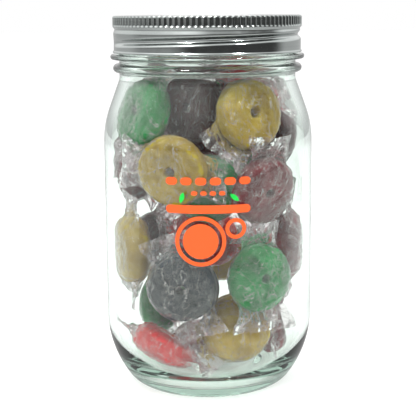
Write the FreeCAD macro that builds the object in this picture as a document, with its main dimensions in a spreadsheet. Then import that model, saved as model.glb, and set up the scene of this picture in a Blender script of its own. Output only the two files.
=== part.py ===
"""Coin bank jar: a glass screw-top jar with a slotted lid, filled with film-wrapped ring sweets.

Millimetres, +Z up. The origin is the centre of the base, on the surface the jar stands on. The front is -Y.
"""

import math
import os

import FreeCAD
import Part
import Sketcher
from FreeCAD import Placement, Rotation, Vector

doc = FreeCAD.newDocument("CoinBankJar")

# -----------------------------------------------------------------------------------------------------
# Driving dimensions
# -----------------------------------------------------------------------------------------------------

SIZES = {
    # glass jar, outside
    "jar_height": 140.0,
    "body_dia": 80.0,
    "heel_inset": 10.2,
    "foot_inset": 5.25,
    "foot_land": 3.0,
    "heel_rise": 14.5,
    "heel_round_low": 8.4,
    "heel_round_high": 40.0,
    "shoulder_drop": 39.3,
    "shoulder_round": 38.0,
    "neck_over": 0.4,
    "neck_drop": 21.9,
    "neck_round": 5.0,
    # glass jar, inside
    "body_wall": 2.8,
    "finish_wall": 3.1,
    "base_wall": 5.2,
    "punt_rise": 2.4,
    "inner_heel_round": 24.0,
    # rings and thread on the neck
    "bead_proud": 2.35,
    "bead_section": 3.1,
    "bead_drop": 17.9,
    "collar_proud": 3.3,
    "collar_thick": 1.8,
    "collar_drop": 13.6,
    "finish_dia": 66.4,
    "thread_height": 1.45,
    "thread_pitch": 6.35,
    "thread_turn": 0.62,
    "thread_root": 2.2,
    "thread_crest": 1.0,
    "thread_bury": 0.4,
    # screw band
    "sheet": 0.45,
    "band_clear": 0.5,
    "band_skirt": 14.0,
    "grip_proud": 0.25,
    "grip_height": 4.2,
    "flute_depth": 0.42,
    "flute_round": 0.78,
    "lip_cover": 3.3,
    "groove_clear": 0.8,
    "groove_mouth": 2.8,
    "groove_floor": 0.9,
    "groove_drop": 8.6,
    "groove_turn": 0.62,
    "thread_gap": 0.3,
    "hem_section": 1.1,
    # slotted disc and its seal
    "disc_over": 0.5,
    "disc_sheet": 0.35,
    "panel_gap": 0.45,
    "panel_rise": 0.4,
    "slot_length": 36.0,
    "slot_width": 5.0,
    "slot_hem": 1.6,
    "seal_thick": 0.8,
    "seal_width": 3.0,
    "seat_gap": 0.05,
    # ring sweets and their film
    "sweet_dia": 25.0,
    "sweet_thick": 9.6,
    "sweet_hole": 3.8,
    "film_gap": 0.15,
    "film": 0.25,
    "fin_length": 5.5,
    "fin_width": 16.0,
    "headspace": 15.5,
    # print on the glass
    "ink": 0.12,
    "ink_gap": 0.02,
    "print_width": 30.0,
    "print_height": 32.4,
    "print_foot": 53.3,
}

FLUTES = 108

sheet = doc.addObject("Spreadsheet::Sheet", "Sizes")
for row, (alias, value) in enumerate(SIZES.items(), start=1):
    sheet.set(f"A{row}", alias)
    sheet.set(f"B{row}", str(value))
    sheet.setAlias(f"B{row}", alias)
doc.recompute()


def size(alias):
    """The value of one named size, read from the sheet."""
    return float(getattr(sheet, alias))


def formula(text):
    """Sizes' names in text become references to the sheet."""
    words = text.replace("(", " ( ").replace(")", " ) ").split()
    return " ".join("Sizes." + word if word in SIZES else word for word in words)


def value_of(text):
    """What a formula in the sheet's names comes to."""
    return float(sheet.evalExpression(formula(text)))


# Radii and heights that several pieces share, as formulas of the named sizes
HEEL_R = "body_dia / 2 - heel_inset"
FOOT_R = HEEL_R + " - foot_inset"
INSIDE_R = "body_dia / 2 - body_wall"
INNER_HEEL_R = HEEL_R + " - body_wall * 0.8"
NECK_R = "finish_dia / 2 + neck_over"
MOUTH_R = "finish_dia / 2 - finish_wall"
THREAD_R = "finish_dia / 2 + thread_height"
BAND_INSIDE_R = THREAD_R + " + band_clear"
BAND_R = BAND_INSIDE_R + " + sheet"
GRIP_R = BAND_R + " + grip_proud"
GROOVE_R = "finish_dia / 2 + groove_clear"
LIP_R = "finish_dia / 2 - lip_cover"
COLLAR_Z = "jar_height - collar_drop"
DISC_Z = "jar_height + seat_gap + seal_thick"
LIP_Z = DISC_Z + " + disc_sheet + seat_gap"
TOP_Z = LIP_Z + " + sheet"
BAND_FOOT_Z = TOP_Z + " - band_skirt"
GROOVE_START_Z = TOP_Z + " - groove_drop - thread_pitch / 4"

# -----------------------------------------------------------------------------------------------------
# PartDesign helpers
# -----------------------------------------------------------------------------------------------------

nodes = []


def new_body(name):
    """A body that is one node of the assembly."""
    body = doc.addObject("PartDesign::Body", name)
    body.Label = name
    nodes.append(body)
    return body


def new_sketch(body, name, plane="XZ_Plane"):
    """An empty sketch on one of the body's own origin planes."""
    sketch = body.newObject("Sketcher::SketchObject", name)
    origin_plane = next(o for o in body.Origin.OriginFeatures if o.Role == plane)
    sketch.AttachmentSupport = [(origin_plane, "")]
    sketch.MapMode = "FlatFace"
    return sketch


def pin(sketch, kind, geometry, text):
    """Ties the start of a sketch line to a formula, across (DistanceX) or up (DistanceY)."""
    if text == "0":
        axis = -2 if kind == "DistanceX" else -1
        sketch.addConstraint(Sketcher.Constraint("PointOnObject", geometry, 1, axis))
        return
    index = sketch.addConstraint(Sketcher.Constraint(kind, -1, 1, geometry, 1, value_of(text)))
    sketch.setExpression(f"Constraints[{index}]", formula(text))


def draw_outline(sketch, corners):
    """A closed outline of straight lines whose corners are pairs of formulas, across and up."""
    points = [Vector(value_of(across), value_of(up), 0) for across, up in corners]
    following = points[1:] + points[:1]
    lines = [sketch.addGeometry(Part.LineSegment(a, b), False) for a, b in zip(points, following)]
    for here, after in zip(lines, lines[1:] + lines[:1]):
        sketch.addConstraint(Sketcher.Constraint("Coincident", here, 2, after, 1))
    for line, (across, up) in zip(lines, corners):
        pin(sketch, "DistanceX", line, across)
        pin(sketch, "DistanceY", line, up)


def revolve(body, name, corners):
    """A solid of revolution about Z."""
    sketch = new_sketch(body, name + "_outline")
    draw_outline(sketch, corners)
    feature = body.newObject("PartDesign::Revolution", name)
    feature.Profile = sketch
    feature.ReferenceAxis = (sketch, ["V_Axis"])
    feature.Angle = 360
    doc.recompute()
    return feature


def round_rings(body, name, radius, rings):
    """Rounds the circular edges about Z through each ring, a pair of formulas: radius and height."""
    base = body.Tip
    wanted = [(value_of(r), value_of(z)) for r, z in rings]
    picked = []
    for number, edge in enumerate(base.Shape.Edges, start=1):
        if not isinstance(edge.Curve, Part.Circle):
            continue
        found = (edge.Curve.Radius, edge.Curve.Center.z)
        if any(math.dist(found, ring) < 0.01 for ring in wanted):
            picked.append(f"Edge{number}")
    if len(picked) != len(rings):
        raise RuntimeError(f"{name}: {len(picked)} of {len(rings)} rings found")
    fillet = body.newObject("PartDesign::Fillet", name)
    fillet.Base = (base, picked)
    fillet.setExpression("Radius", formula(radius))
    doc.recompute()
    return fillet


def draw_circle(sketch, across, up, radius):
    """A circle whose centre and radius are formulas."""
    centre = Vector(value_of(across), value_of(up), 0)
    circle = sketch.addGeometry(Part.Circle(centre, Vector(0, 0, 1), value_of(radius)), False)
    index = sketch.addConstraint(Sketcher.Constraint("DistanceX", -1, 1, circle, 3, centre.x))
    sketch.setExpression(f"Constraints[{index}]", formula(across))
    if up == "0":
        sketch.addConstraint(Sketcher.Constraint("PointOnObject", circle, 3, -1))
    else:
        index = sketch.addConstraint(Sketcher.Constraint("DistanceY", -1, 1, circle, 3, centre.y))
        sketch.setExpression(f"Constraints[{index}]", formula(up))
    index = sketch.addConstraint(Sketcher.Constraint("Radius", circle, value_of(radius)))
    sketch.setExpression(f"Constraints[{index}]", formula(radius))


def draw_stadium(sketch, length, width, across="0", up="0"):
    """A slot with round ends, lying along the sketch's X and centred where two formulas say."""
    radius = value_of(width) / 2
    reach = value_of(length) / 2 - radius
    x = value_of(across)
    y = value_of(up)
    right_circle = Part.Circle(Vector(x + reach, y, 0), Vector(0, 0, 1), radius)
    left_circle = Part.Circle(Vector(x - reach, y, 0), Vector(0, 0, 1), radius)
    high, low = y + radius, y - radius
    right = sketch.addGeometry(Part.ArcOfCircle(right_circle, -math.pi / 2, math.pi / 2), False)
    top = sketch.addGeometry(Part.LineSegment(Vector(x + reach, high, 0), Vector(x - reach, high, 0)), False)
    left = sketch.addGeometry(Part.ArcOfCircle(left_circle, math.pi / 2, 3 * math.pi / 2), False)
    bottom = sketch.addGeometry(Part.LineSegment(Vector(x - reach, low, 0), Vector(x + reach, low, 0)), False)
    for here, after in ((right, top), (top, left), (left, bottom), (bottom, right)):
        sketch.addConstraint(Sketcher.Constraint("Tangent", here, 2, after, 1))
    for kind, end, value, text in (
        ("DistanceX", right, x + reach, f"{across} + ( {length} - ( {width} ) ) / 2"),
        ("DistanceX", left, x - reach, f"{across} - ( {length} - ( {width} ) ) / 2"),
        ("DistanceY", right, y, up),
    ):
        index = sketch.addConstraint(Sketcher.Constraint(kind, -1, 1, end, 3, value))
        sketch.setExpression(f"Constraints[{index}]", formula(text))
    index = sketch.addConstraint(Sketcher.Constraint("Radius", right, radius))
    sketch.setExpression(f"Constraints[{index}]", formula(f"( {width} ) / 2"))


def draw_strip(sketch, length, width):
    """A rectangle centred on the origin, its length along X."""
    x = value_of(length) / 2
    y = value_of(width) / 2
    points = [Vector(-x, -y, 0), Vector(x, -y, 0), Vector(x, y, 0), Vector(-x, y, 0)]
    following = points[1:] + points[:1]
    lines = [sketch.addGeometry(Part.LineSegment(a, b), False) for a, b in zip(points, following)]
    for here, after in zip(lines, lines[1:] + lines[:1]):
        sketch.addConstraint(Sketcher.Constraint("Coincident", here, 2, after, 1))
    for line, direction in zip(lines, ("Horizontal", "Vertical", "Horizontal", "Vertical")):
        sketch.addConstraint(Sketcher.Constraint(direction, line))
    sketch.addConstraint(Sketcher.Constraint("Symmetric", lines[0], 1, lines[2], 1, -1, 1))
    index = sketch.addConstraint(Sketcher.Constraint("DistanceX", lines[0], 1, lines[0], 2, 2 * x))
    sketch.setExpression(f"Constraints[{index}]", formula(length))
    index = sketch.addConstraint(Sketcher.Constraint("DistanceY", lines[1], 1, lines[1], 2, 2 * y))
    sketch.setExpression(f"Constraints[{index}]", formula(width))


def ring(body, name, across, up, radius):
    """A round ring about Z with a circular section."""
    sketch = new_sketch(body, name + "_section")
    draw_circle(sketch, across, up, radius)
    feature = body.newObject("PartDesign::Revolution", name)
    feature.Profile = sketch
    feature.ReferenceAxis = (sketch, ["V_Axis"])
    feature.Angle = 360
    doc.recompute()
    return feature


def helix(body, kind, name, corners, turns):
    """A right-hand thread about Z that starts at the left side. The corners are formulas, outward and up."""
    sketch = new_sketch(body, name + "_section")
    sketch.AttachmentOffset = Placement(Vector(), Rotation(Vector(0, 1, 0), 180))
    draw_outline(sketch, corners)
    feature = body.newObject(kind, name)
    feature.Profile = sketch
    feature.ReferenceAxis = (sketch, ["V_Axis"])
    feature.Mode = "pitch-height-angle"
    feature.setExpression("Pitch", formula("thread_pitch"))
    feature.setExpression("Height", formula("thread_pitch * " + turns))
    doc.recompute()
    return feature


# -----------------------------------------------------------------------------------------------------
# Glass jar
# -----------------------------------------------------------------------------------------------------

def make_jar():
    jar = new_body("glass_jar")
    collar_top = COLLAR_Z + " + collar_thick / 2"
    collar_foot = COLLAR_Z + " - collar_thick / 2"
    revolve(jar, "jar_wall", [
        ("0", "punt_rise"),
        (FOOT_R + " - foot_land * 2", "punt_rise"),
        (FOOT_R + " - foot_land", "0"),
        (HEEL_R, "0"),
        ("body_dia / 2", "heel_rise"),
        ("body_dia / 2", "jar_height - shoulder_drop"),
        (NECK_R, "jar_height - neck_drop"),
        (NECK_R, collar_foot),
        (NECK_R + " + collar_proud", collar_foot),
        (NECK_R + " + collar_proud", collar_top),
        ("finish_dia / 2", collar_top),
        ("finish_dia / 2", "jar_height"),
        (MOUTH_R, "jar_height"),
        (MOUTH_R, "jar_height - neck_drop - 1"),
        (INSIDE_R, "jar_height - shoulder_drop - 1"),
        (INSIDE_R, "heel_rise + base_wall * 0.4"),
        (INNER_HEEL_R, "base_wall"),
        ("0", "base_wall + punt_rise / 2"),
    ])
    round_rings(jar, "heel_low", "heel_round_low", [(HEEL_R, "0")])
    round_rings(jar, "heel_high", "heel_round_high", [("body_dia / 2", "heel_rise")])
    round_rings(jar, "shoulder", "shoulder_round", [("body_dia / 2", "jar_height - shoulder_drop")])
    round_rings(jar, "neck_root", "neck_round", [(NECK_R, "jar_height - neck_drop")])
    round_rings(jar, "inner_heel_low", "heel_round_low", [(INNER_HEEL_R, "base_wall")])
    round_rings(jar, "inner_heel_high", "inner_heel_round", [(INSIDE_R, "heel_rise + base_wall * 0.4")])
    round_rings(jar, "inner_shoulder", "shoulder_round - body_wall",
                [(INSIDE_R, "jar_height - shoulder_drop - 1")])
    round_rings(jar, "collar_edge", "collar_thick * 0.42",
                [(NECK_R + " + collar_proud", collar_foot), (NECK_R + " + collar_proud", collar_top)])
    round_rings(jar, "sealing_rim", "seal_width * 0.28",
                [("finish_dia / 2", "jar_height"), (MOUTH_R, "jar_height")])

    bead_r = NECK_R + " + bead_proud - bead_section / 2"
    ring(jar, "neck_bead", bead_r, "jar_height - bead_drop", "bead_section / 2")

    # The thread starts at the left side and rises to the right across the front, above the band's groove.
    half_widths = "( groove_mouth + groove_floor + thread_root + thread_crest ) / 4"
    start = GROOVE_START_Z + " + " + half_widths + " + thread_gap"
    root = "finish_dia / 2 - thread_bury"
    helix(jar, "PartDesign::AdditiveHelix", "jar_thread", [
        (root, start + " - thread_root / 2"),
        (THREAD_R, start + " - thread_crest / 2"),
        (THREAD_R, start + " + thread_crest / 2"),
        (root, start + " + thread_root / 2"),
    ], "thread_turn")


# -----------------------------------------------------------------------------------------------------
# Lid: screw band, slotted disc and its seal
# -----------------------------------------------------------------------------------------------------

def make_band():
    """Rolled sheet: a lip over the disc, a fluted grip, a skirt with a helical groove, and a hem."""
    band = new_body("screw_band")
    grip_foot = TOP_Z + " - grip_height"
    revolve(band, "band_wall", [
        (LIP_R, LIP_Z),
        (LIP_R, TOP_Z),
        (GRIP_R, TOP_Z),
        (GRIP_R, grip_foot),
        (BAND_R, grip_foot + " - sheet"),
        (BAND_R, BAND_FOOT_Z + " + hem_section / 2"),
        (BAND_INSIDE_R, BAND_FOOT_Z + " + hem_section / 2"),
        (BAND_INSIDE_R, LIP_Z),
    ])
    round_rings(band, "lip_round", "sheet * 1.8", [(GRIP_R, TOP_Z)])
    ring(band, "hem", BAND_INSIDE_R + " + sheet / 2", BAND_FOOT_Z + " + hem_section / 2", "hem_section / 2")

    flute = new_sketch(band, "flute_section", "XY_Plane")
    flute.setExpression("AttachmentOffset.Base.z", formula(TOP_Z))
    draw_circle(flute, GRIP_R + " - flute_depth + flute_round", "0", "flute_round")
    cut = band.newObject("PartDesign::Pocket", "flute")
    cut.Profile = flute
    cut.setExpression("Length", formula("grip_height"))
    doc.recompute()
    flutes = band.newObject("PartDesign::PolarPattern", "flutes")
    flutes.Originals = [cut]
    flutes.Axis = (flute, ["N_Axis"])
    flutes.Angle = 360
    flutes.Occurrences = FLUTES
    band.Tip = flutes
    doc.recompute()

    middle = GROOVE_START_Z
    helix(band, "PartDesign::AdditiveHelix", "groove_inside", [
        (BAND_INSIDE_R + " + sheet / 4", middle + " - groove_mouth / 2"),
        (BAND_INSIDE_R + " + sheet / 4", middle + " + groove_mouth / 2"),
        (GROOVE_R, middle + " + groove_floor / 2"),
        (GROOVE_R, middle + " - groove_floor / 2"),
    ], "groove_turn")
    helix(band, "PartDesign::SubtractiveHelix", "groove_outside", [
        (BAND_R + " + sheet / 4", middle + " - groove_mouth / 2"),
        (BAND_R + " + sheet / 4", middle + " + groove_mouth / 2"),
        (GROOVE_R + " + sheet", middle + " + groove_floor / 2"),
        (GROOVE_R + " + sheet", middle + " - groove_floor / 2"),
    ], "groove_turn")


def make_disc():
    """The flat lid under the band's lip. Its raised panel has the coin slot, whose edges are hemmed down."""
    disc = new_body("slotted_disc")
    panel = LIP_R + " - panel_gap"
    panel_top = DISC_Z + " + panel_rise + disc_sheet"
    revolve(disc, "disc_sheet_metal", [
        ("0", DISC_Z + " + panel_rise"),
        (panel + " - disc_sheet", DISC_Z + " + panel_rise"),
        (panel + " - disc_sheet", DISC_Z),
        ("finish_dia / 2 + disc_over", DISC_Z),
        ("finish_dia / 2 + disc_over", DISC_Z + " + disc_sheet"),
        (panel, DISC_Z + " + disc_sheet"),
        (panel, panel_top),
        ("0", panel_top),
    ])
    hem = new_sketch(disc, "slot_hem_outline", "XY_Plane")
    hem.setExpression("AttachmentOffset.Base.z", formula(panel_top))
    draw_stadium(hem, "slot_length + 2 * disc_sheet", "slot_width + 2 * disc_sheet")
    pad = disc.newObject("PartDesign::Pad", "slot_hem")
    pad.Profile = hem
    pad.setExpression("Length", formula("disc_sheet + slot_hem"))
    pad.Reversed = True
    doc.recompute()
    slot = new_sketch(disc, "slot_outline", "XY_Plane")
    slot.setExpression("AttachmentOffset.Base.z", formula(panel_top))
    draw_stadium(slot, "slot_length", "slot_width")
    pocket = disc.newObject("PartDesign::Pocket", "coin_slot")
    pocket.Profile = slot
    pocket.Type = "ThroughAll"
    doc.recompute()


def make_seal():
    """The soft ring between the disc and the jar's rim."""
    seal = new_body("sealing_ring")
    outside = "finish_dia / 2 + seat_gap"
    revolve(seal, "seal_section", [
        (outside + " - seal_width", "jar_height + seat_gap"),
        (outside, "jar_height + seat_gap"),
        (outside, DISC_Z),
        (outside + " - seal_width", DISC_Z),
    ])


# -----------------------------------------------------------------------------------------------------
# Ring sweets in film
# -----------------------------------------------------------------------------------------------------

def draw_pillow(sketch, radius, low, high):
    """Half the section of a disc with a fully rounded rim, closed along the vertical axis."""
    reach = value_of(radius)
    bottom = value_of(low)
    top = value_of(high)
    half = (top - bottom) / 2
    middle = (top + bottom) / 2
    floor = sketch.addGeometry(Part.LineSegment(Vector(0, bottom, 0), Vector(reach - half, bottom, 0)), False)
    circle = Part.Circle(Vector(reach - half, middle, 0), Vector(0, 0, 1), half)
    rim = sketch.addGeometry(Part.ArcOfCircle(circle, -math.pi / 2, math.pi / 2), False)
    roof = sketch.addGeometry(Part.LineSegment(Vector(reach - half, top, 0), Vector(0, top, 0)), False)
    axis = sketch.addGeometry(Part.LineSegment(Vector(0, top, 0), Vector(0, bottom, 0)), False)
    sketch.addConstraint(Sketcher.Constraint("Tangent", floor, 2, rim, 1))
    sketch.addConstraint(Sketcher.Constraint("Tangent", rim, 2, roof, 1))
    sketch.addConstraint(Sketcher.Constraint("Coincident", roof, 2, axis, 1))
    sketch.addConstraint(Sketcher.Constraint("Coincident", axis, 2, floor, 1))
    sketch.addConstraint(Sketcher.Constraint("Horizontal", floor))
    pin(sketch, "DistanceX", floor, "0")
    pin(sketch, "DistanceX", axis, "0")
    pin(sketch, "DistanceY", floor, low)
    pin(sketch, "DistanceY", axis, high)
    index = sketch.addConstraint(Sketcher.Constraint("DistanceX", -1, 1, floor, 2, reach - half))
    sketch.setExpression(f"Constraints[{index}]", formula(f"{radius} - ( {high} - ( {low} ) ) / 2"))


def make_sweet(name):
    """A ring with a rounded rim and hole, lying flat, one film and one gap above its body's XY plane."""
    sweet = new_body(name)
    low = "film_gap + film"
    high = low + " + sweet_thick"
    outline = new_sketch(sweet, "sweet_outline")
    draw_pillow(outline, "sweet_dia / 2", low, high)
    pillow = sweet.newObject("PartDesign::Revolution", "sweet_disc")
    pillow.Profile = outline
    pillow.ReferenceAxis = (outline, ["V_Axis"])
    pillow.Angle = 360
    hole = new_sketch(sweet, "hole_outline", "XY_Plane")
    draw_circle(hole, "0", "0", "sweet_hole / 2")
    bore = sweet.newObject("PartDesign::Pocket", "hole")
    bore.Profile = hole
    bore.Type = "ThroughAll"
    bore.Midplane = True
    doc.recompute()
    round_rings(sweet, "hole_edge", "sweet_hole / 4", [("sweet_hole / 2", low), ("sweet_hole / 2", high)])
    return sweet


def make_wrapper(name):
    """A film shell round a sweet, with a flat crimped fin at each end, on its body's XY plane."""
    wrapper = new_body(name)
    outside = "sweet_dia / 2 + film_gap + film"
    height = "sweet_thick + 2 * ( film_gap + film )"
    skin = new_sketch(wrapper, "skin_outline")
    draw_pillow(skin, outside, "0", height)
    shell = wrapper.newObject("PartDesign::Revolution", "skin")
    shell.Profile = skin
    shell.ReferenceAxis = (skin, ["V_Axis"])
    shell.Angle = 360
    strip = new_sketch(wrapper, "fin_outline", "XY_Plane")
    strip.setExpression("AttachmentOffset.Base.z", formula("( " + height + " ) / 2"))
    draw_strip(strip, "sweet_dia + 2 * ( film_gap + film + fin_length )", "fin_width")
    fins = wrapper.newObject("PartDesign::Pad", "fins")
    fins.Profile = strip
    fins.Midplane = True
    fins.setExpression("Length", formula("2 * film"))
    lining = new_sketch(wrapper, "hollow_outline")
    draw_pillow(lining, "sweet_dia / 2 + film_gap", "film", height + " - film")
    hollow = wrapper.newObject("PartDesign::Groove", "hollow")
    hollow.Profile = lining
    hollow.ReferenceAxis = (lining, ["V_Axis"])
    hollow.Angle = 360
    doc.recompute()
    return wrapper


# Where each sweet is aimed, before they settle against one another. Its centre is given as shares of the
# inside's radius (right, back) and of the filled height. Then come the way its face turns from the front
# towards the right, how far the face tips up, and the lean of its fins, in degrees. The first ones are held
# to their aims, because they show from the front, and the others fill the space behind them.
SWEETS = [
    ("green", -0.66, -0.48, 0.85, -49, 0, 80),
    ("yellow", 0.45, -0.66, 0.85, 8, 8, 60),
    ("plum", -0.18, -0.22, 0.86, 0, 8, 60),
    ("red", 0.66, -0.04, 1.02, 25, 35, 10),
    ("yellow", -0.39, -0.72, 0.69, -12, 0, -20),
    ("green", 0.00, -0.34, 0.60, 5, 0, 10),
    ("maroon", 0.56, -0.64, 0.61, 30, 0, 70),
    ("yellow", -0.80, -0.30, 0.40, -75, 0, 80),
    ("slate", -0.26, -0.76, 0.31, -3, -3, -68),
    ("green", 0.62, -0.70, 0.34, 20, 0, -62),
    ("yellow", 0.27, -0.58, 0.16, 5, 10, 20),
    ("red", -0.50, -0.54, 0.07, 60, 50, 90),
    ("maroon", 0.90, -0.22, 0.40, 70, 0, -60),
    ("maroon", 0.68, 0.06, 0.10, 75, 25, 10),
    ("maroon", -0.05, 0.22, 0.00, 0, 75, 40),
    ("green", -0.56, 0.50, 0.14, -130, 20, 70),
    ("red", 0.72, 0.32, 0.33, 105, 0, 60),
    ("yellow", 0.11, 0.76, 0.32, 175, 5, 20),
    ("plum", -0.62, 0.40, 0.37, -130, 0, -50),
    ("green", 0.54, 0.60, 0.57, 140, 0, 20),
    ("red", -0.16, 0.74, 0.57, -170, 0, 70),
    ("maroon", -0.76, 0.22, 0.64, -110, 0, 30),
    ("plum", 0.74, 0.27, 0.77, 110, 0, 80),
    ("green", 0.11, 0.65, 0.80, 175, 10, -30),
    ("yellow", -0.49, 0.49, 0.85, -140, 10, 50),
    ("red", 0.00, 0.05, 0.42, 30, 40, 0),
    ("maroon", -0.05, 0.05, 0.70, -60, 50, 0),
]
HELD = 13


def cross(a, b):
    return a[1] * b[2] - a[2] * b[1], a[2] * b[0] - a[0] * b[2], a[0] * b[1] - a[1] * b[0]


def dot(a, b):
    return a[0] * b[0] + a[1] * b[1] + a[2] * b[2]


def along(point, direction, amount):
    """The point, moved along a direction."""
    return tuple(p + d * amount for p, d in zip(point, direction))


def between(start, end):
    return (end[0] - start[0], end[1] - start[1], end[2] - start[2])


def unit(a):
    length = math.sqrt(dot(a, a))
    return (a[0] / length, a[1] / length, a[2] / length)


class Wrapped:
    """A wrapped sweet on the move: its centre, and the directions of its fins, its width and its hole."""

    def __init__(self, centre, turn, tip, lean):
        turn, tip, lean = math.radians(turn), math.radians(tip), math.radians(lean)
        hole = (math.sin(turn) * math.cos(tip), -math.cos(turn) * math.cos(tip), math.sin(tip))
        level = (math.cos(turn), math.sin(turn), 0.0)
        rise = cross(level, hole)
        if rise[2] < 0:
            rise = (-rise[0], -rise[1], -rise[2])
        self.centre = centre
        fins = along(along((0, 0, 0), level, math.cos(lean)), rise, math.sin(lean))
        self.set_axes(fins, cross(hole, level), hole)

    def set_axes(self, fins, width, hole):
        self.fins = unit(fins)
        self.hole = unit(along(hole, self.fins, -dot(hole, self.fins)))
        self.width = cross(self.hole, self.fins)

    def at(self, a, b):
        """The point of the middle plane at a along the fins and b across them."""
        return along(along(self.centre, self.fins, a), self.width, b)

    def nearest(self, core, point):
        """The nearest point of a flat core, which is a disc or a rectangle in the middle plane."""
        away = between(self.centre, point)
        a, b = dot(away, self.fins), dot(away, self.width)
        if len(core) == 1:
            shrink = min(1.0, core[0] / max(math.hypot(a, b), 1e-9))
            return self.at(a * shrink, b * shrink)
        return self.at(max(-core[0], min(core[0], a)), max(-core[1], min(core[1], b)))

    def turn_by(self, k):
        """A small turn about the direction of k, as large as k is long, in radians."""
        self.set_axes(*(along(axis, cross(k, axis), 1.0) for axis in (self.fins, self.width, self.hole)))

    def give(self, point, way, inertia):
        arm = cross(between(self.centre, point), way)
        return 1.0 + dot(arm, arm) / inertia

    def push(self, point, way, amount, inertia):
        arm = cross(between(self.centre, point), way)
        self.centre = along(self.centre, way, amount)
        self.turn_by(along((0, 0, 0), arm, amount / inertia))


def part_two(a, b, core_a, core_b, apart, inertia):
    """Moves two sweets until two of their cores are far enough apart. Returns how far they were too close."""
    q = b.centre
    for _ in range(36):
        p = a.nearest(core_a, q)
        q = b.nearest(core_b, p)
    gap = math.dist(p, q)
    if gap >= apart:
        return 0.0
    way = unit(between(q, p)) if gap > 0.001 else unit(between(b.centre, a.centre))
    amount = (apart - gap) / (a.give(p, way, inertia) + b.give(q, way, inertia))
    a.push(p, way, amount, inertia)
    b.push(q, way, -amount, inertia)
    return apart - gap


def wall_through(lower, upper):
    """A straight wall through two points (radius, height): its outward direction and its offset."""
    run, rise = upper[0] - lower[0], upper[1] - lower[1]
    length = math.hypot(run, rise)
    return (rise / length, -run / length, (rise * lower[0] - run * lower[1]) / length)


def wall_at_round(corner, one, other, radius):
    """The wall that touches the middle of the rounded corner between two walls."""
    lean = math.hypot(one[0] + other[0], one[1] + other[1])
    out, up = (one[0] + other[0]) / lean, (one[1] + other[1]) / lean
    cut = radius * (2 / lean - 1)
    return (out, up, out * corner[0] + up * corner[1] - cut)


def inside_walls():
    """The jar's inside as walls, each with the heights between which it counts."""
    body = value_of(INSIDE_R)
    mouth = value_of(MOUTH_R)
    heel_foot = (value_of(INNER_HEEL_R), value_of("base_wall"))
    heel_top = (body, value_of("heel_rise + base_wall * 0.4"))
    shoulder_foot = (body, value_of("jar_height - shoulder_drop - 1"))
    shoulder_top = (mouth, value_of("jar_height - neck_drop - 1"))
    floor = (0.0, -1.0, -value_of("base_wall + punt_rise / 2"))
    top = (0.0, 1.0, value_of("jar_height - headspace"))
    side = wall_through((body, 0.0), (body, 1.0))
    heel = wall_through(heel_foot, heel_top)
    shoulder = wall_through(shoulder_foot, shoulder_top)
    neck = wall_through((mouth, 0.0), (mouth, 1.0))
    heel_low = wall_at_round(heel_foot, floor, heel, size("heel_round_low"))
    heel_high = wall_at_round(heel_top, heel, side, size("inner_heel_round"))
    shoulder_round = wall_at_round(shoulder_foot, side, shoulder, value_of("shoulder_round - body_wall"))
    low, high = shoulder_top[1], value_of("jar_height")
    walls = [(wall, 0.0, high) for wall in (floor, heel_low, heel, heel_high, side, shoulder_round, top)]
    return walls + [(shoulder, 0.0, low + size("sweet_thick") / 2), (neck, low, high)]


def keep_in(sweet, points, radius, walls, inertia):
    """Pushes a sweet back inside the walls. Returns how far it stuck out."""
    worst = 0.0
    for a, b in points:
        for (out, up, offset), low, high in walls:
            point = sweet.at(a, b)
            if not low <= point[2] <= high:
                continue
            reach = max(math.hypot(point[0], point[1]), 1e-6)
            over = out * reach + up * point[2] - offset + radius
            if over > 0:
                worst = max(worst, over)
                sweet.push(point, (-out * point[0] / reach, -out * point[1] / reach, -up), over, inertia)
    return worst


def settle():
    """Where the sweets come to lie: close to their aims, and clear of one another and of the glass."""
    half = value_of("sweet_thick / 2 + film_gap + film")
    disc = (value_of("sweet_dia / 2 + film_gap + film") - half,)
    clear = size("film_gap")
    inertia = value_of("sweet_dia") ** 2 / 10
    body = value_of(INSIDE_R)
    floor = value_of("base_wall + punt_rise / 2")
    fill = value_of("jar_height - headspace") - floor
    walls = inside_walls()
    aims = [(x * body, y * body, floor + z * fill) for _, x, y, z, *_ in SWEETS]
    sweets = [Wrapped(aim, *entry[4:]) for aim, entry in zip(aims, SWEETS)]
    faces = [sweet.hole for sweet in sweets]
    rim = [(disc[0] * math.cos(i * math.pi / 6), disc[0] * math.sin(i * math.pi / 6)) for i in range(12)]
    film = size("film")
    for step in range(400):
        # The fins grow to their full length over the first part, and the pull towards the aims then stops.
        grown = min(1.0, step / 130)
        fin = (disc[0] + half - 1 + (size("fin_length") + 1) * grown, value_of("fin_width / 2"))
        corners = [(fin[0] * i, fin[1] * j) for i in (-1, 1) for j in (-1, 0, 1)]
        if step < 160:
            for index, (sweet, aim, face) in enumerate(zip(sweets, aims, faces)):
                held = index < HELD
                sweet.centre = along(sweet.centre, between(sweet.centre, aim), 0.06 if held else 0.01)
                if held:
                    sweet.turn_by(along((0, 0, 0), cross(sweet.hole, face), 0.05))
        worst = 0.0
        for index, a in enumerate(sweets):
            for b in sweets[:index]:
                if math.dist(a.centre, b.centre) > 2 * math.hypot(*fin) + 1:
                    continue
                for core_a, core_b, apart in (
                    (disc, disc, 2 * half),
                    (disc, fin, half + film),
                    (fin, disc, half + film),
                    (fin, fin, 2 * film),
                ):
                    worst = max(worst, part_two(a, b, core_a, core_b, apart + clear, inertia))
        for sweet in sweets:
            worst = max(worst, keep_in(sweet, rim, half + clear, walls, inertia))
            worst = max(worst, keep_in(sweet, corners, film + clear, walls, inertia))
        if step >= 160 and worst < clear / 2:
            break
    return sweets


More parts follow.
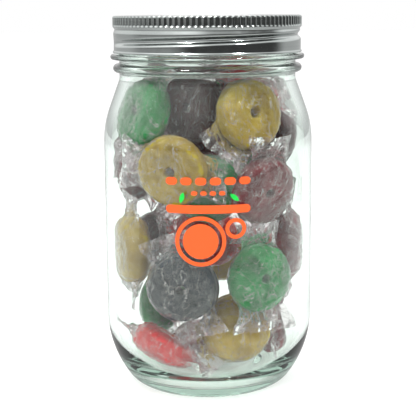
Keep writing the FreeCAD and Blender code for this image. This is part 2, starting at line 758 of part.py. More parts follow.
def make_sweets():
    """Every sweet and its wrapper, where they have settled."""
    drop = Placement(Vector(0, 0, -value_of("sweet_thick / 2 + film_gap + film")), Rotation())
    for number, (entry, spot) in enumerate(zip(SWEETS, settle()), start=1):
        sweet = make_sweet(f"sweet_{entry[0]}_{number:02d}")
        wrapper = make_wrapper(f"wrapper_{number:02d}")
        turned = Rotation(Vector(*spot.fins), Vector(*spot.width), Vector(*spot.hole), "ZXY")
        for body in (sweet, wrapper):
            body.Placement = Placement(Vector(*spot.centre), turned) * drop


# -----------------------------------------------------------------------------------------------------
# Print on the glass
# -----------------------------------------------------------------------------------------------------

def print_node(name, draw):
    """Ink: a flat drawing seen from the front, wrapped onto the front of the glass."""
    flat = doc.addObject("Sketcher::SketchObject", name + "_drawing")
    flat.Placement = Placement(Vector(), Rotation(Vector(1, 0, 0), 90))
    draw(flat)
    pushed = doc.addObject("Part::Extrusion", name + "_block")
    pushed.Base = flat
    pushed.Dir = Vector(0, -1, 0)
    pushed.DirMode = "Custom"
    pushed.Solid = True
    pushed.setExpression("LengthFwd", formula("body_dia"))
    tubes = []
    for side, radius in (("outside", "body_dia / 2 + ink_gap + ink"), ("inside", "body_dia / 2 + ink_gap")):
        tube = doc.addObject("Part::Cylinder", f"{name}_{side}")
        tube.setExpression("Radius", formula(radius))
        tube.setExpression("Height", formula("print_height + 2"))
        tube.setExpression("Placement.Base.z", formula("print_foot - 1"))
        tubes.append(tube)
    film = doc.addObject("Part::Cut", name + "_film")
    film.Base, film.Tool = tubes
    ink = doc.addObject("Part::Common", name)
    ink.Base = pushed
    ink.Tool = film
    ink.Label = name
    nodes.append(ink)
    doc.recompute()


def draw_orange(sketch):
    """Two rows of plain dashes, a bar, and a coin with a smaller one beside it."""
    for index in range(6):
        draw_stadium(sketch, "print_width * 0.135", "print_height * 0.085",
                     f"print_width * {(index - 2.5) * 0.173:.4f}", "print_foot + print_height * 0.957")
    for index in range(4):
        draw_stadium(sketch, "print_width * 0.075", "print_height * 0.048",
                     f"print_width * {(index - 1.5) * 0.11:.3f}", "print_foot + print_height * 0.826")
    draw_stadium(sketch, "print_width", "print_height * 0.092", "0", "print_foot + print_height * 0.648")
    for share in (1.0, 0.84, 0.7):
        draw_circle(sketch, "0 - print_height * 0.085", "print_foot + print_height * 0.292",
                    f"print_height * {0.28 * share:.3f}")
    for share in (1.0, 0.62):
        draw_circle(sketch, "print_height * 0.3", "print_foot + print_height * 0.43",
                    f"print_height * {0.115 * share:.4f}")


def draw_green(sketch):
    """A leaf above each end of the bar."""
    for side, lean in ((-1, 75), (1, 140)):
        across = side * value_of("print_width * 0.31")
        middle = Vector(across, value_of("print_foot + print_height * 0.775"), 0)
        half = value_of("print_height * 0.062")
        tip = Vector(half * math.cos(math.radians(lean)), half * math.sin(math.radians(lean)), 0)
        swell = Vector(-tip.y, tip.x, 0) * 0.42
        first = sketch.addGeometry(Part.Arc(middle - tip, middle + swell, middle + tip), False)
        second = sketch.addGeometry(Part.Arc(middle + tip, middle - swell, middle - tip), False)
        for arc in (first, second):
            sketch.addConstraint(Sketcher.Constraint("Block", arc))


make_jar()
make_band()
make_disc()
make_seal()
make_sweets()
print_node("print_orange", draw_orange)
print_node("print_green", draw_green)
doc.recompute()

failed = [o.Name for o in doc.Objects if "Invalid" in o.State or "Error" in o.State]
failed += [n.Label for n in nodes if n.Shape.isNull() or not n.Shape.isValid()]
if failed:
    raise RuntimeError("these did not build: " + ", ".join(failed))

os.makedirs("parts", exist_ok=True)
for node in nodes:
    node.Shape.exportStep(f"parts/{node.Label}.step")
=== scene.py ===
"""Looks of the coin bank jar: glass, slotted screw lid, printed front and film-wrapped ring sweets.

Lengths in this file are millimetres unless they end in _m; MM turns them into Blender's metres. The jar
stands on z = 0 with its axis on the origin and its printed front towards -Y.
"""

import math  # noqa: E402

import bpy  # noqa: E402
import numpy as np  # noqa: E402
from mathutils import Matrix, Vector, noise  # noqa: E402


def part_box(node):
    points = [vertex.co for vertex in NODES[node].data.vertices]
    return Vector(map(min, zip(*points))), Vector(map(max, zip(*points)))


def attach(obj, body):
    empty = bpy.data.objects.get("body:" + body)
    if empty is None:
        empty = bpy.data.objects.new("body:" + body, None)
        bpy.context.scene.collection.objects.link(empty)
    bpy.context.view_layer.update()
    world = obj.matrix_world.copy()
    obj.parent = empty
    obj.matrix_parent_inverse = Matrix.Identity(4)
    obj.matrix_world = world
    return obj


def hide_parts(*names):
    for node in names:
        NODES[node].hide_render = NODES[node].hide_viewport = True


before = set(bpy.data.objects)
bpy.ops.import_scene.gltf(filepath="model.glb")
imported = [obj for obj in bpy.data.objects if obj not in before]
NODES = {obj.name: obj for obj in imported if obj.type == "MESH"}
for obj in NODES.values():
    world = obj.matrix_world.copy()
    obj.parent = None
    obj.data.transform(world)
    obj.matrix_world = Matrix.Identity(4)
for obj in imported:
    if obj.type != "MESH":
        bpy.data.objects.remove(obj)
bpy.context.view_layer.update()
MM = 0.001
TAU = 2 * math.pi
scene = bpy.context.scene

# ----------------------------------------------------------------------------------------------------
# Sizes that follow the CAD model
# ----------------------------------------------------------------------------------------------------

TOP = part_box("screw_band")[1].z / MM
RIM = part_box("glass_jar")[1].z / MM
BODY_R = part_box("glass_jar")[1].x / MM
BAND_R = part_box("screw_band")[1].x / MM
FINISH_R = 33.2
NECK_R = FINISH_R + 0.4
MOUTH_R = FINISH_R - 3.1
INSIDE_R = BODY_R - 2.8
PITCH = 6.35
GROOVE_START = TOP - 8.6 - PITCH / 4
THREAD_START = GROOVE_START + 2.025
THREAD_TURN = 0.62 * TAU
SWEET_R = 12.5
SWEET_HALF = 4.8
SETTLE_STEPS = 8
FILM_OFF_OTHERS = 0.55
FILM_OFF_OWN = 0.42
NEAR_SWEETS = 40
BAND_FLUTES = 108
JAR_COLUMNS = 288
BAND_COLUMNS = 1080
SWEET_COLUMNS = 72


# ----------------------------------------------------------------------------------------------------
# Mesh helpers
# ----------------------------------------------------------------------------------------------------

def add_mesh(name, points, faces):
    """A mesh object from points in millimetres."""
    mesh = bpy.data.meshes.new(name)
    mesh.from_pydata([tuple(p) for p in np.asarray(points, float) * MM], [], faces)
    mesh.validate()
    mesh.update()
    mesh.shade_smooth()
    piece = bpy.data.objects.new(name, mesh)
    bpy.context.collection.objects.link(piece)
    return piece


def rounded(corners, step=0.3):
    """A polyline through corners (radius, height, rounding), with an arc where a corner has a rounding."""
    count = len(corners)
    line = []
    for i, (r, z, radius) in enumerate(corners):
        here = Vector((r, z))
        if radius <= 0 or i in (0, count - 1):
            line.append(here)
            continue
        into = (here - Vector(corners[i - 1][:2])).normalized()
        out = (Vector(corners[i + 1][:2]) - here).normalized()
        turn = into.angle_signed(out)
        reach = radius * math.tan(abs(turn) / 2)
        start = here - into * reach
        side = Vector((-into.y, into.x)) * (-1 if turn > 0 else 1)
        centre = start + side * radius
        steps = max(4, int(abs(turn) * radius / step))
        for k in range(steps + 1):
            spoke = start - centre
            spoke.rotate(Matrix.Rotation(-turn * k / steps, 2))
            line.append(centre + spoke)
    return [(p.x, p.y) for p in line]


def between(a, b, share):
    """The point at a share of the way from a to b."""
    count, parts = share
    return a[0] + (b[0] - a[0]) * count / parts, a[1] + (b[1] - a[1]) * count / parts


def resample(line, step):
    """Adds points so that no two neighbours are further apart than step."""
    out = [line[0]]
    for a, b in zip(line, line[1:]):
        pieces = max(1, math.ceil(math.dist(a, b) / step))
        out += [between(a, b, (k, pieces)) for k in range(1, pieces + 1)]
    return out


def lathe(name, profile, columns, shape):
    """Turns a closed profile about Z. shape(radius, height, angle) gives the radius and height of whole grids."""
    base = np.array(profile, float)
    rows = len(base)
    angle = np.linspace(0, TAU, columns, endpoint=False)[None, :]
    r = np.repeat(base[:, :1], columns, axis=1)
    z = np.repeat(base[:, 1:], columns, axis=1)
    r, z = shape(r, z, angle)
    points = np.stack([r * np.cos(angle), r * np.sin(angle), z], axis=-1).reshape(-1, 3)
    faces = []
    for i in range(rows):
        a, b = i * columns, (i + 1) % rows * columns
        for j in range(columns):
            k = (j + 1) % columns
            faces.append((a + j, a + k, b + k, b + j))
    return add_mesh(name, points, faces)


def ramp(value, low, high):
    """0 below low, 1 above high, with a smooth step between."""
    t = np.clip((value - low) / (high - low), 0, 1)
    return t * t * (3 - 2 * t)


# ----------------------------------------------------------------------------------------------------
# Material helpers
# ----------------------------------------------------------------------------------------------------

class Nodes:
    """A short way to write a material's node tree."""

    def __init__(self, name):
        self.material = bpy.data.materials.new(name)
        self.material.use_nodes = True
        self.tree = self.material.node_tree
        self.tree.nodes.clear()
        self.output = self.tree.nodes.new("ShaderNodeOutputMaterial")

    def add(self, kind, inputs=None, **settings):
        node = self.tree.nodes.new("ShaderNode" + kind)
        for key, value in settings.items():
            setattr(node, key, value)
        for key, value in (inputs or {}).items():
            if isinstance(value, bpy.types.NodeSocket):
                self.tree.links.new(value, node.inputs[key])
            else:
                node.inputs[key].default_value = value
        return node

    def surface(self, socket):
        self.tree.links.new(socket, self.output.inputs["Surface"])
        return self.material

    def position(self):
        return self.add("TexCoord").outputs["Object"]

    def noise(self, scale, detail, vector=None, distortion=0.0):
        return self.add("TexNoise", {"Vector": vector or self.position(), "Scale": scale, "Detail": detail,
                                     "Distortion": distortion}).outputs["Fac"]

    def stretch(self, x, y, z):
        return self.add("Mapping", {"Vector": self.position(), "Scale": (x, y, z)}).outputs["Vector"]

    def span(self, fac, low, high, from_low=0.0, from_high=1.0):
        return self.add("MapRange", {"Value": fac, "From Min": from_low, "From Max": from_high, "To Min": low,
                                     "To Max": high}).outputs["Result"]

    def blend(self, fac, one, other):
        mix = self.add("Mix", data_type="RGBA")
        for index, value in ((0, fac), (6, one), (7, other)):
            if isinstance(value, bpy.types.NodeSocket):
                self.tree.links.new(value, mix.inputs[index])
            else:
                mix.inputs[index].default_value = value
        return mix.outputs[2]

    def bump(self, height, strength, distance):
        inputs = {"Height": height, "Strength": strength, "Distance": distance}
        return self.add("Bump", inputs).outputs["Normal"]


def rgb(red, green, blue):
    """An sRGB colour, 0 to 255, as linear light."""
    out = []
    for value in (red, green, blue):
        value /= 255
        out.append(value / 12.92 if value <= 0.04045 else ((value + 0.055) / 1.055) ** 2.4)
    return (*out, 1.0)


def glass_material():
    m = Nodes("clear_glass")
    ripple = m.noise(38, 3)
    normal = m.bump(ripple, 0.05, 0.0006)
    body = m.add("BsdfPrincipled", {"Base Color": rgb(246, 251, 248), "Roughness": 0.015, "IOR": 1.50,
                                    "Transmission Weight": 1.0, "Normal": normal})
    clear = m.add("BsdfTransparent", {"Color": rgb(244, 249, 246)})
    path = m.add("LightPath")
    lamp = m.add("Math", {0: path.outputs["Is Shadow Ray"], 1: path.outputs["Is Diffuse Ray"]},
                 operation="MAXIMUM")
    mix = m.add("MixShader", {0: lamp.outputs[0], 1: body.outputs[0], 2: clear.outputs[0]})
    absorb = m.add("VolumeAbsorption", {"Color": rgb(196, 222, 210), "Density": 26.0})
    m.tree.links.new(absorb.outputs[0], m.output.inputs["Volume"])
    return m.surface(mix.outputs[0])


def metal_material(name, tone, rough, grain):
    """Bright rolled sheet: a satin streak runs round it, with faint handling marks."""
    m = Nodes(name)
    streak = m.noise(60, 6, m.stretch(0.15, 0.15, grain))
    marks = m.noise(420, 5)
    colour = m.blend(m.span(streak, 0.0, 1.0, 0.3, 0.7), tone, tuple(c * 0.86 for c in tone[:3]) + (1,))
    roughness = m.span(marks, rough * 0.7, rough * 1.5, 0.3, 0.7)
    normal = m.bump(streak, 0.12, 0.0002)
    body = m.add("BsdfPrincipled", {"Base Color": colour, "Metallic": 1.0, "Roughness": roughness,
                                    "Normal": normal})
    return m.surface(body.outputs[0])


def seal_material():
    m = Nodes("seal_compound")
    grain = m.noise(900, 4)
    colour = m.blend(grain, rgb(176, 170, 158), rgb(142, 136, 126))
    body = m.add("BsdfPrincipled", {"Base Color": colour, "Roughness": 0.75,
                                    "Normal": m.bump(grain, 0.2, 0.0002)})
    return m.surface(body.outputs[0])


def candy_material(name, light, deep):
    """A boiled sweet: cloudy inside, with a smooth skin."""
    m = Nodes("candy_" + name)
    cloud = m.noise(85, 3, distortion=0.6)
    colour = m.blend(m.span(cloud, 0.0, 1.0, 0.32, 0.68), deep, light)
    skin = m.noise(260, 3)
    body = m.add("BsdfPrincipled", {
        "Base Color": colour, "Roughness": m.span(skin, 0.32, 0.5), "Subsurface Weight": 0.6,
        "Subsurface Radius": (1.0, 0.8, 0.6), "Subsurface Scale": 0.003, "IOR": 1.45,
        "Specular IOR Level": 0.2, "Normal": m.bump(skin, 0.15, 0.0004)})
    return m.surface(body.outputs[0])


def film_material():
    """Clear film: it shines like thin plastic, with a white line along each crease and haze as it turns away."""
    m = Nodes("clear_film")
    cells = m.add("TexVoronoi", {"Vector": m.position(), "Scale": 160.0}, feature="DISTANCE_TO_EDGE")
    crackle = m.noise(300, 4, distortion=1.2)
    height = m.add("Math", {0: m.span(cells.outputs["Distance"], 0.0, 1.0, 0.0, 0.35), 1: crackle},
                   operation="ADD")
    normal = m.bump(height.outputs[0], 0.7, 0.0009)
    off = m.add("Math", {0: m.noise(150, 4, m.stretch(1.0, 1.0, 0.5), distortion=1.4), 1: 0.5},
                operation="SUBTRACT")
    line = m.add("Math", {0: off.outputs[0]}, operation="ABSOLUTE")
    crease = m.span(line.outputs[0], 0.36, 0.0, 0.0, 0.014)
    facing = m.add("LayerWeight", {"Blend": 0.2, "Normal": normal}).outputs["Facing"]
    amount = m.add("Math", {0: m.span(facing, 0.02, 0.28), 1: crease}, operation="ADD").outputs[0]
    path = m.add("LightPath").outputs["Is Shadow Ray"]
    haze_amount = m.add("Math", {0: amount, 1: m.span(path, 1.0, 0.3)}, operation="MULTIPLY").outputs[0]
    shine_amount = m.add("Math", {0: m.add("Fresnel", {"IOR": 1.55, "Normal": normal}).outputs[0],
                                  1: m.span(path, 1.0, 0.0)}, operation="MULTIPLY").outputs[0]
    clear = m.add("BsdfTransparent", {"Color": rgb(251, 246, 248)})
    shine = m.add("BsdfGlossy", {"Color": (1, 1, 1, 1), "Roughness": 0.09, "Normal": normal})
    haze = m.add("BsdfPrincipled", {"Base Color": rgb(226, 210, 214), "Roughness": 0.3, "Normal": normal})
    film = m.add("MixShader", {0: shine_amount, 1: clear.outputs[0], 2: shine.outputs[0]})
    mix = m.add("MixShader", {0: haze_amount, 1: film.outputs[0], 2: haze.outputs[0]})
    return m.surface(mix.outputs[0])


def ink_material(name, colour):
    """Opaque screen ink: a fine mesh grain, which also makes its gloss slightly uneven."""
    m = Nodes(name)
    grain = m.noise(1500, 3)
    tone = m.blend(m.span(grain, 0.0, 0.35), colour, tuple(c * 0.86 for c in colour[:3]) + (1,))
    body = m.add("BsdfPrincipled", {"Base Color": tone, "Roughness": 0.42,
                                    "Normal": m.bump(grain, 0.15, 0.0001)})
    return m.surface(body.outputs[0])


GLASS = glass_material()
BAND_METAL = metal_material("band_metal", rgb(200, 206, 204), 0.14, 9)
DISC_METAL = metal_material("disc_metal", rgb(212, 212, 210), 0.22, 1)
SEAL = seal_material()
FILM = film_material()
CANDY = {
    "green": candy_material("green", rgb(16, 158, 78), rgb(0, 100, 40)),
    "yellow": candy_material("yellow", rgb(196, 170, 52), rgb(150, 122, 14)),
    "red": candy_material("red", rgb(228, 48, 54), rgb(178, 12, 24)),
    "maroon": candy_material("maroon", rgb(132, 20, 38), rgb(86, 4, 20)),
    "plum": candy_material("plum", rgb(94, 38, 42), rgb(52, 14, 20)),
    "slate": candy_material("slate", rgb(52, 54, 66), rgb(26, 28, 38)),
}
ORANGE = ink_material("orange_ink", rgb(238, 90, 22))
GREEN = ink_material("green_ink", rgb(0, 206, 66))


def dress(piece, material):
    """Gives a piece one material in place of any it has."""
    piece.data.materials.clear()
    piece.data.materials.append(material)


# ----------------------------------------------------------------------------------------------------
# Camera, floor and light
# ----------------------------------------------------------------------------------------------------

def make_camera():
    data = bpy.data.cameras.new("camera")
    data.sensor_width = 36
    data.lens = 89.7
    data.shift_y = -0.0855
    data.dof.use_dof = False
    camera = bpy.data.objects.new("camera", data)
    bpy.context.collection.objects.link(camera)
    camera.location = (0.0004, -0.3984, 0.1443)
    camera.rotation_euler = (math.radians(90 - 9), math.radians(0.4), 0)
    scene.camera = camera


def make_floor():
    size_m = 6.0
    mesh = bpy.data.meshes.new("floor")
    corners = [(-size_m, -size_m, 0), (size_m, -size_m, 0), (size_m, size_m, 0), (-size_m, size_m, 0)]
    mesh.from_pydata(corners, [], [(0, 1, 2, 3)])
    floor = bpy.data.objects.new("floor", mesh)
    bpy.context.collection.objects.link(floor)
    m = Nodes("floor_paper")
    tone = m.blend(m.noise(8, 2), (0.60, 0.60, 0.60, 1), (0.58, 0.58, 0.58, 1))
    paper = m.add("BsdfPrincipled", {"Base Color": tone, "Roughness": 0.9, "Emission Color": (1, 1, 1, 1),
                                     "Emission Strength": 0.42})
    dress(floor, m.surface(paper.outputs[0]))
    floor.visible_glossy = False


def add_softbox(name, place, aim, width_m, height_m, power):
    data = bpy.data.lights.new(name, "AREA")
    data.shape = "RECTANGLE"
    data.size = width_m
    data.size_y = height_m
    data.energy = power
    lamp = bpy.data.objects.new(name, data)
    bpy.context.collection.objects.link(lamp)
    lamp.location = place
    lamp.rotation_euler = (Vector(aim) - Vector(place)).to_track_quat("-Z", "Y").to_euler()
    lamp.visible_camera = False


def make_light():
    """A white tent. Gloss sees a white backdrop behind the jar, and in front a dim room lit from the left."""
    world = bpy.data.worlds.new("tent")
    scene.world = world
    world.use_nodes = True
    tree = world.node_tree
    tree.nodes.clear()

    def add(kind, inputs, **settings):
        node = tree.nodes.new("ShaderNode" + kind)
        for key, value in settings.items():
            setattr(node, key, value)
        for key, value in inputs.items():
            if isinstance(value, bpy.types.NodeSocket):
                tree.links.new(value, node.inputs[key])
            else:
                node.inputs[key].default_value = value
        return node.outputs[0]

    def fade(value, start, end, low, high):
        return add("MapRange", {0: value, 1: start, 2: end, 3: low, 4: high}, interpolation_type="SMOOTHSTEP")

    def product(one, other):
        return add("Math", {0: one, 1: other}, operation="MULTIPLY")

    def total(one, other):
        return add("Math", {0: one, 1: other}, operation="ADD")

    split = tree.nodes.new("ShaderNodeSeparateXYZ")
    tree.links.new(tree.nodes.new("ShaderNodeTexCoord").outputs["Generated"], split.inputs[0])
    across, deep, up = split.outputs
    window = product(fade(up, 0.03, 0.30, 0.0, 1.0), fade(across, 0.15, -0.35, 0.08, 0.85))
    ceiling = fade(up, 0.50, 0.75, 0.0, 0.75)
    table = fade(up, -0.22, -0.50, 0.0, 0.66)
    wall = product(product(fade(up, -0.34, -0.20, 0.0, 1.0), fade(up, 0.05, -0.05, 0.0, 1.0)),
                   fade(across, -0.30, -0.75, 0.0, 0.34))
    room = total(total(window, ceiling), total(total(table, wall), 0.06))
    backdrop = fade(up, -0.02, 0.25, 0.55, 1.0)
    behind = fade(deep, -0.05, 0.35, 0.0, 1.0)
    level = total(product(room, total(1.0, product(behind, -1.0))), product(backdrop, behind))
    seen = add("Background", {0: add("CombineColor", {0: level, 1: level, 2: level}), 1: 1.0})
    tent = add("Background", {0: (1, 1, 1, 1), 1: 1.0})
    mirror = tree.nodes.new("ShaderNodeLightPath").outputs["Is Glossy Ray"]
    sky = add("MixShader", {0: mirror, 1: tent, 2: seen})
    out = tree.nodes.new("ShaderNodeOutputWorld")
    tree.links.new(sky, out.inputs[0])
    add_softbox("key_softbox", (-0.30, -0.42, 0.85), (0, 0, 0.08), 0.12, 0.12, 5.0)
    add_softbox("fill_softbox", (0.42, -0.36, 0.80), (0, 0, 0.08), 0.08, 0.08, 2.5)
    add_softbox("top_softbox", (0.0, 0.25, 0.85), (0, 0, 0.08), 0.60, 0.50, 4.0)


def set_paths():
    """Enough bounces for light to pass many layers of glass and film."""
    cycles = scene.cycles
    cycles.max_bounces = 24
    cycles.transmission_bounces = 16
    cycles.glossy_bounces = 8
    cycles.transparent_max_bounces = 64
    scene.view_settings.view_transform = "Standard"


# ----------------------------------------------------------------------------------------------------
# Glass jar
# ----------------------------------------------------------------------------------------------------

def inside_of_jar():
    """The inside wall from the mouth down to the middle of the floor, as (radius, height, rounding)."""
    return [(MOUTH_R, RIM - 22.9, 5.0), (INSIDE_R, RIM - 40.3, 35.2), (INSIDE_R, 16.58, 24.0),
            (27.56, 5.2, 8.4), (0.01, 6.4, 0)]


def make_jar():
    bead, bead_z = 1.55, RIM - 17.9
    bead_r = NECK_R + 2.35 - bead
    arc = [(bead_r + bead * math.cos(a), bead_z + bead * math.sin(a), 0)
           for a in np.linspace(-0.52 * math.pi, 0.52 * math.pi, 15)]
    collar, collar_r = RIM - 13.6, NECK_R + 3.3
    outside = rounded([
        (0.01, 2.4, 0), (18.5, 2.4, 2.0), (21.6, 0.0, 1.0), (29.8, 0.0, 8.4), (BODY_R, 14.5, 40.0),
        (BODY_R, RIM - 39.3, 38.0), (NECK_R, RIM - 21.9, 5.0), (NECK_R, bead_z - 1.9, 0.5),
        *arc,
        (NECK_R, bead_z + 1.9, 0.5), (NECK_R, collar - 0.9, 0.35), (collar_r, collar - 0.9, 0.75),
        (collar_r, collar + 0.9, 0.75), (FINISH_R, collar + 0.9, 0.35), (FINISH_R, RIM, 0.84),
        (MOUTH_R, RIM, 0.84),
        *inside_of_jar(),
    ])
    profile = resample(outside, 0.6)

    def thread(r, z, angle):
        turned = (angle - math.pi) % TAU
        middle = THREAD_START + PITCH * turned / TAU
        fade = ramp(turned, 0.0, 0.15) * (1 - ramp(turned, THREAD_TURN - 0.15, THREAD_TURN))
        off = np.abs(z - middle)
        wall = (np.abs(r - FINISH_R) < 0.2) & (z > collar + 1.2) & (z < RIM - 0.8)
        r = r + np.where(wall, 1.45 * (1 - ramp(off, 0.45, 1.15)) * fade, 0)
        foot = (z < 1.6) & (r > 21.0) & (r < 30.5)
        dots = np.maximum(0, np.cos(angle * 96)) * np.maximum(0, np.cos(r * 4.2))
        return r, z + np.where(foot, 0.22 * dots, 0)

    fine = []
    for a, b in zip(profile, profile[1:]):
        fine.append(a)
        step = 0.2 if (abs(a[0] - FINISH_R) < 0.3 and a[1] > collar) else 10
        pieces = max(1, math.ceil(math.dist(a, b) / step))
        fine += [between(a, b, (k, pieces)) for k in range(1, pieces)]
    fine.append(profile[-1])
    jar = lathe("jar_glass", fine, JAR_COLUMNS, thread)
    dress(jar, GLASS)
    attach(jar, "jar")
    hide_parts("glass_jar")


# ----------------------------------------------------------------------------------------------------
# Lid
# ----------------------------------------------------------------------------------------------------

def make_band():
    skin, sheet = BAND_R - 0.35, 0.45
    outside = resample(rounded([
        (29.9, TOP - 0.42, 0), (29.9, TOP, 0.2), (BAND_R - 0.05, TOP, 0.75), (BAND_R - 0.05, TOP - 4.1, 0.5),
        (skin - 0.45, TOP - 5.0, 0.5), (skin + 0.1, TOP - 6.5, 1.3), (skin, TOP - 8.0, 1.0),
        (skin, TOP - 13.0, 0.3),
    ], 0.12), 0.2)
    hem = [(skin - 0.1 + 0.5 * math.cos(a), TOP - 13.45 + 0.5 * math.sin(a))
           for a in np.linspace(0.45, -math.pi - 0.2, 14)]
    inside = resample(rounded([
        (skin - sheet, TOP - 13.0, 0), (skin - sheet, TOP - 8.0, 1.0), (skin - sheet + 0.1, TOP - 6.5, 1.0),
        (skin - sheet - 0.4, TOP - 5.0, 0.4), (BAND_R - 0.55, TOP - 4.1, 0.4),
        (BAND_R - 0.55, TOP - 0.45, 0.5),
        (29.9, TOP - 0.45, 0),
    ], 0.2), 0.3)
    profile = outside + hem + inside
    outer_rows = len(outside)

    def shape(r, z, angle):
        turned = (angle - math.pi) % TAU
        middle = GROOVE_START + PITCH * turned / TAU
        fade = ramp(turned, 0.0, 0.5) * (1 - ramp(turned, THREAD_TURN - 0.5, THREAD_TURN))
        off = np.abs(z - middle)
        skirt = (r > 34.5) & (z > TOP - 13.4)
        dip = 1.25 * (0.5 + 0.5 * np.cos(np.clip(off / 1.9, 0, 1) * math.pi)) * fade
        groove = np.where(skirt, dip * ramp(TOP - z, 4.6, 5.6), 0)
        rows = np.arange(r.shape[0])[:, None]
        grip = (rows < outer_rows) & (r > BAND_R - 0.4) & (z > TOP - 4.3)
        depth = ramp(TOP - z, -0.1, 0.5) * (1 - ramp(TOP - z, 3.3, 4.1))
        flute = np.where(grip, 0.42 * depth * np.abs(np.cos(angle * BAND_FLUTES / 2)) ** 1.6, 0)
        return r - groove - flute, z

    band = lathe("band_sheet", profile, BAND_COLUMNS, shape)
    dress(band, BAND_METAL)
    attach(band, "band")
    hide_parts("screw_band")


# ----------------------------------------------------------------------------------------------------
# Sweets and film
# ----------------------------------------------------------------------------------------------------

def place_of(number, sweet):
    """A wrapped sweet's centre in millimetres, and the directions of its fins, width and hole."""
    ring = np.array([v.co for v in NODES[sweet].data.vertices]) / MM
    film = np.array([v.co for v in NODES[f"wrapper_{number:02d}"].data.vertices]) / MM
    centre = ring.mean(0)
    away = film - centre
    far = away[np.linalg.norm(away, axis=1) > SWEET_R + 3]
    hole = np.linalg.svd(ring - centre, full_matrices=False)[2][2]
    flat = far - np.outer(far @ hole, hole)
    fins = np.linalg.svd(flat, full_matrices=False)[2][0]
    if hole[1] > 0:
        hole = -hole
    fins = fins - hole * (fins @ hole)
    fins /= np.linalg.norm(fins)
    return centre, fins, np.cross(hole, fins), hole


def to_world(local, spot):
    centre, fins, width, hole = spot
    return centre + local[..., :1] * fins + local[..., 1:2] * width + local[..., 2:] * hole


def wobble(points, scale, amount, seed):
    """Moves points by smooth noise."""
    shift = Vector((seed * 7.3, seed * 3.1, seed * 5.7))
    return points + np.array([noise.noise_vector(Vector(p) * scale + shift) * amount for p in points])


def make_sweet(number, node, spot):
    colour = node.split("_")[1]
    edge, lip, bore = SWEET_R - 0.1, SWEET_HALF - 0.5, 1.75
    profile = rounded([
        (bore, -lip + 0.9, 0), (bore + 0.35, -lip, 0.7), (7.0, -SWEET_HALF, 6.0), (edge, -3.6, 3.0),
        (edge + 0.1, 0.0, 6.0), (edge, 3.6, 3.0), (7.0, SWEET_HALF, 6.0), (bore + 0.35, lip, 0.7),
        (bore, lip - 0.9, 0),
    ], 0.5)
    base = np.array(resample(profile, 0.9))
    rows, columns = len(base), SWEET_COLUMNS
    angle = np.linspace(0, TAU, columns, endpoint=False)
    r, h = base[:, :1], base[:, 1:] * np.ones((1, columns))
    local = np.stack([r * np.cos(angle), r * np.sin(angle), h], -1).reshape(-1, 3)
    local = wobble(local, 0.13, 0.5, number)
    local = wobble(local, 0.45, 0.15, number + 40)
    faces = [(i * columns + j, i * columns + (j + 1) % columns, (i + 1) % rows * columns + (j + 1) % columns,
              (i + 1) % rows * columns + j) for i in range(rows) for j in range(columns)]
    piece = add_mesh(f"ring_sweet_{number:02d}", to_world(local, spot), faces)
    dress(piece, CANDY[colour])
    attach(piece, "jar")
    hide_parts(node)


def clear_of(points, spot, margin):
    """Pushes points out of the rounded disc that a sweet fills."""
    centre, _, _, hole = spot
    away = points - centre
    h = away @ hole
    flat = away - h[..., None] * hole
    rho = np.linalg.norm(flat, axis=-1)
    core = SWEET_R - SWEET_HALF
    near = flat * np.minimum(1, core / np.maximum(rho, 1e-6))[..., None]
    out = away - near
    gap = np.linalg.norm(out, axis=-1)
    push = np.maximum(SWEET_HALF + margin - gap, 0)
    return points + out / np.maximum(gap, 1e-6)[..., None] * push[..., None]


def inside_glass(points, margin):
    """Keeps points off the inside of the jar. The rounding of the heel's lowest corner is left out."""
    wall = np.array(rounded(inside_of_jar()[:-1], 1.0) + [(27.0, 5.0)])[::-1]
    reach = np.hypot(points[..., 0], points[..., 1])
    limit = np.interp(points[..., 2], wall[:, 1], wall[:, 0]) - margin
    scale = np.minimum(1, limit / np.maximum(reach, 1e-6))
    low = 6.45 - np.clip(reach / 27, 0, 1) * 1.2 + margin
    return np.stack([points[..., 0] * scale, points[..., 1] * scale, np.maximum(points[..., 2], low)], -1)


def smooth_grid(grid, strength):
    """Draws each point of a grid towards the middle of its neighbours; the corners stay."""
    out = grid.copy()
    out[1:-1] += strength * ((grid[:-2] + grid[2:]) / 2 - grid[1:-1])
    out[:, 1:-1] += strength * ((grid[:, :-2] + grid[:, 2:]) / 2 - grid[:, 1:-1])
    return out


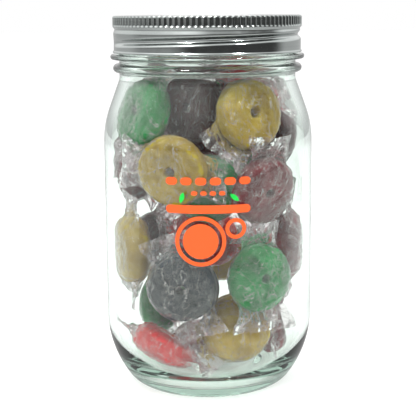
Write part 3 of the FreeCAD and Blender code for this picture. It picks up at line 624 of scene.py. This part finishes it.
def make_wrapper(number, spot, others):
    """Two faces of film over a sweet, joined along their edges, with a crimped fin at each end.

    The film is a tube wider than the sweet. It is laid out flat, drawn in over the sweet, and then pushed
    off the sweets round it and the glass while it is smoothed, so that its slack crumples into the gaps.
    """
    columns, rows = 110, 58
    half_length = 20.5
    random = np.random.default_rng(number)
    phase = random.uniform(0, TAU, 6)
    u = np.linspace(-1, 1, columns)[:, None]
    v = np.linspace(-1, 1, rows)[None, :]
    x = half_length * u + 0 * v
    end = np.abs(x)
    edge = np.sqrt(np.maximum(13.3 ** 2 - end ** 2, 0))
    flare = 8.6 + 2.2 * ramp(end, 13, 20) + 0.8 * np.sin(phase[0] + 0.5 * np.sign(x))
    plan = np.maximum(edge, flare)
    plan = (plan + np.roll(plan, 2, 0) + np.roll(plan, -2, 0)) / 3
    y = plan * v
    seal = ramp(end, 16.2, 16.8)
    rho = np.hypot(x, y)
    dome = np.sqrt(np.maximum((SWEET_HALF + 0.4) ** 2 - np.maximum(rho - (SWEET_R - SWEET_HALF), 0) ** 2, 0))
    tent = 0.15 + 2.9 * (1 - ramp(end, 9.5, 16.6)) * (1 - np.abs(v) ** 3)
    height = np.maximum(dome, tent) * (1 - np.abs(v) ** 14)
    wave = 1.3 * np.sin(y * 0.33 + phase[3]) * ramp(end, 13.0, 20.5) + 0.5 * np.sin(y * 0.9 + phase[4]) * seal
    pucker = ramp(end, 6.0, 14.0) * (1 - 0.6 * seal)
    fold = sum(np.sin(y * k + phase[i] + 0.25 * x) / (i + 1.4) for i, k in enumerate((1.3, 2.1, 3.4)))
    points = []
    for side in (1, -1):
        local = np.stack([x, y, side * height + wave], -1)
        grid = to_world(local, spot)
        for _ in range(SETTLE_STEPS):
            grid = smooth_grid(grid, 0.35)
            for other in others:
                grid = clear_of(grid, other, FILM_OFF_OTHERS)
            grid = clear_of(grid, spot, FILM_OFF_OWN)
            grid = inside_glass(grid, FILM_OFF_OTHERS)
        normal = np.cross(np.gradient(grid, axis=0), np.gradient(grid, axis=1)) * side
        normal /= np.maximum(np.linalg.norm(normal, axis=-1, keepdims=True), 1e-9)
        seed = Vector((number * 3.7, side * 5.1, 0.0))
        flat = grid.reshape(-1, 3)
        large = np.array([noise.noise(Vector(p) * 0.33 + seed) for p in flat]).reshape(x.shape)
        small = np.array([noise.noise(Vector(p) * 0.85 + seed) for p in flat]).reshape(x.shape)
        ridge = np.clip(1 - np.abs(large) * 4.0, 0, 1) * 0.40 + np.clip(1 - np.abs(small) * 3.0, 0, 1) * 0.16
        detail = 0.26 * pucker * fold + ridge * (1 - 0.5 * seal) - 0.15
        if side < 0:
            detail = detail + np.clip(1.9 - np.abs(y - 0.8), 0, 0.28) * (1 - seal)
        detail = detail * (1 - np.abs(v) ** 10) + side * 0.10 * np.sin(x * TAU / 1.0) * seal
        points.append(grid + normal * detail[..., None])
    edge_rows = (points[0][:, [0, -1]] + points[1][:, [0, -1]]) / 2
    for grid in points:
        grid[:, [0, -1]] = edge_rows
    middle = (points[0] + points[1]) / 2
    closing = ramp(end, 16.0, 16.8)[..., None]
    skins = [middle + (grid - middle) * (1 - closing) + (grid - middle) * closing * 0.25 for grid in points]
    world = np.concatenate([skin.reshape(-1, 3) for skin in skins])
    count = columns * rows
    faces = []
    for i in range(columns - 1):
        for j in range(rows - 1):
            a = i * rows + j
            faces.append((a, a + rows, a + rows + 1, a + 1))
            faces.append((count + a, count + a + 1, count + a + rows + 1, count + a + rows))
    piece = add_mesh(f"film_wrapper_{number:02d}", world, faces)
    dress(piece, FILM)
    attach(piece, "jar")
    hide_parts(f"wrapper_{number:02d}")


def make_fill():
    noise.seed_set(1)  # without a seed, noise_vector takes one from the clock
    names = {int(n[-2:]): n for n in NODES if n.startswith("sweet_")}
    spots = {number: place_of(number, names[number]) for number in sorted(names)}
    for number, spot in spots.items():
        near = [other for k, other in spots.items()
                if k != number and math.dist(other[0], spot[0]) < NEAR_SWEETS]
        make_sweet(number, names[number], spot)
        make_wrapper(number, spot, near)


make_camera()
make_floor()
make_light()
set_paths()
make_jar()
make_band()
make_fill()
dress(NODES["slotted_disc"], DISC_METAL)
dress(NODES["sealing_ring"], SEAL)
dress(NODES["print_orange"], ORANGE)
dress(NODES["print_green"], GREEN)
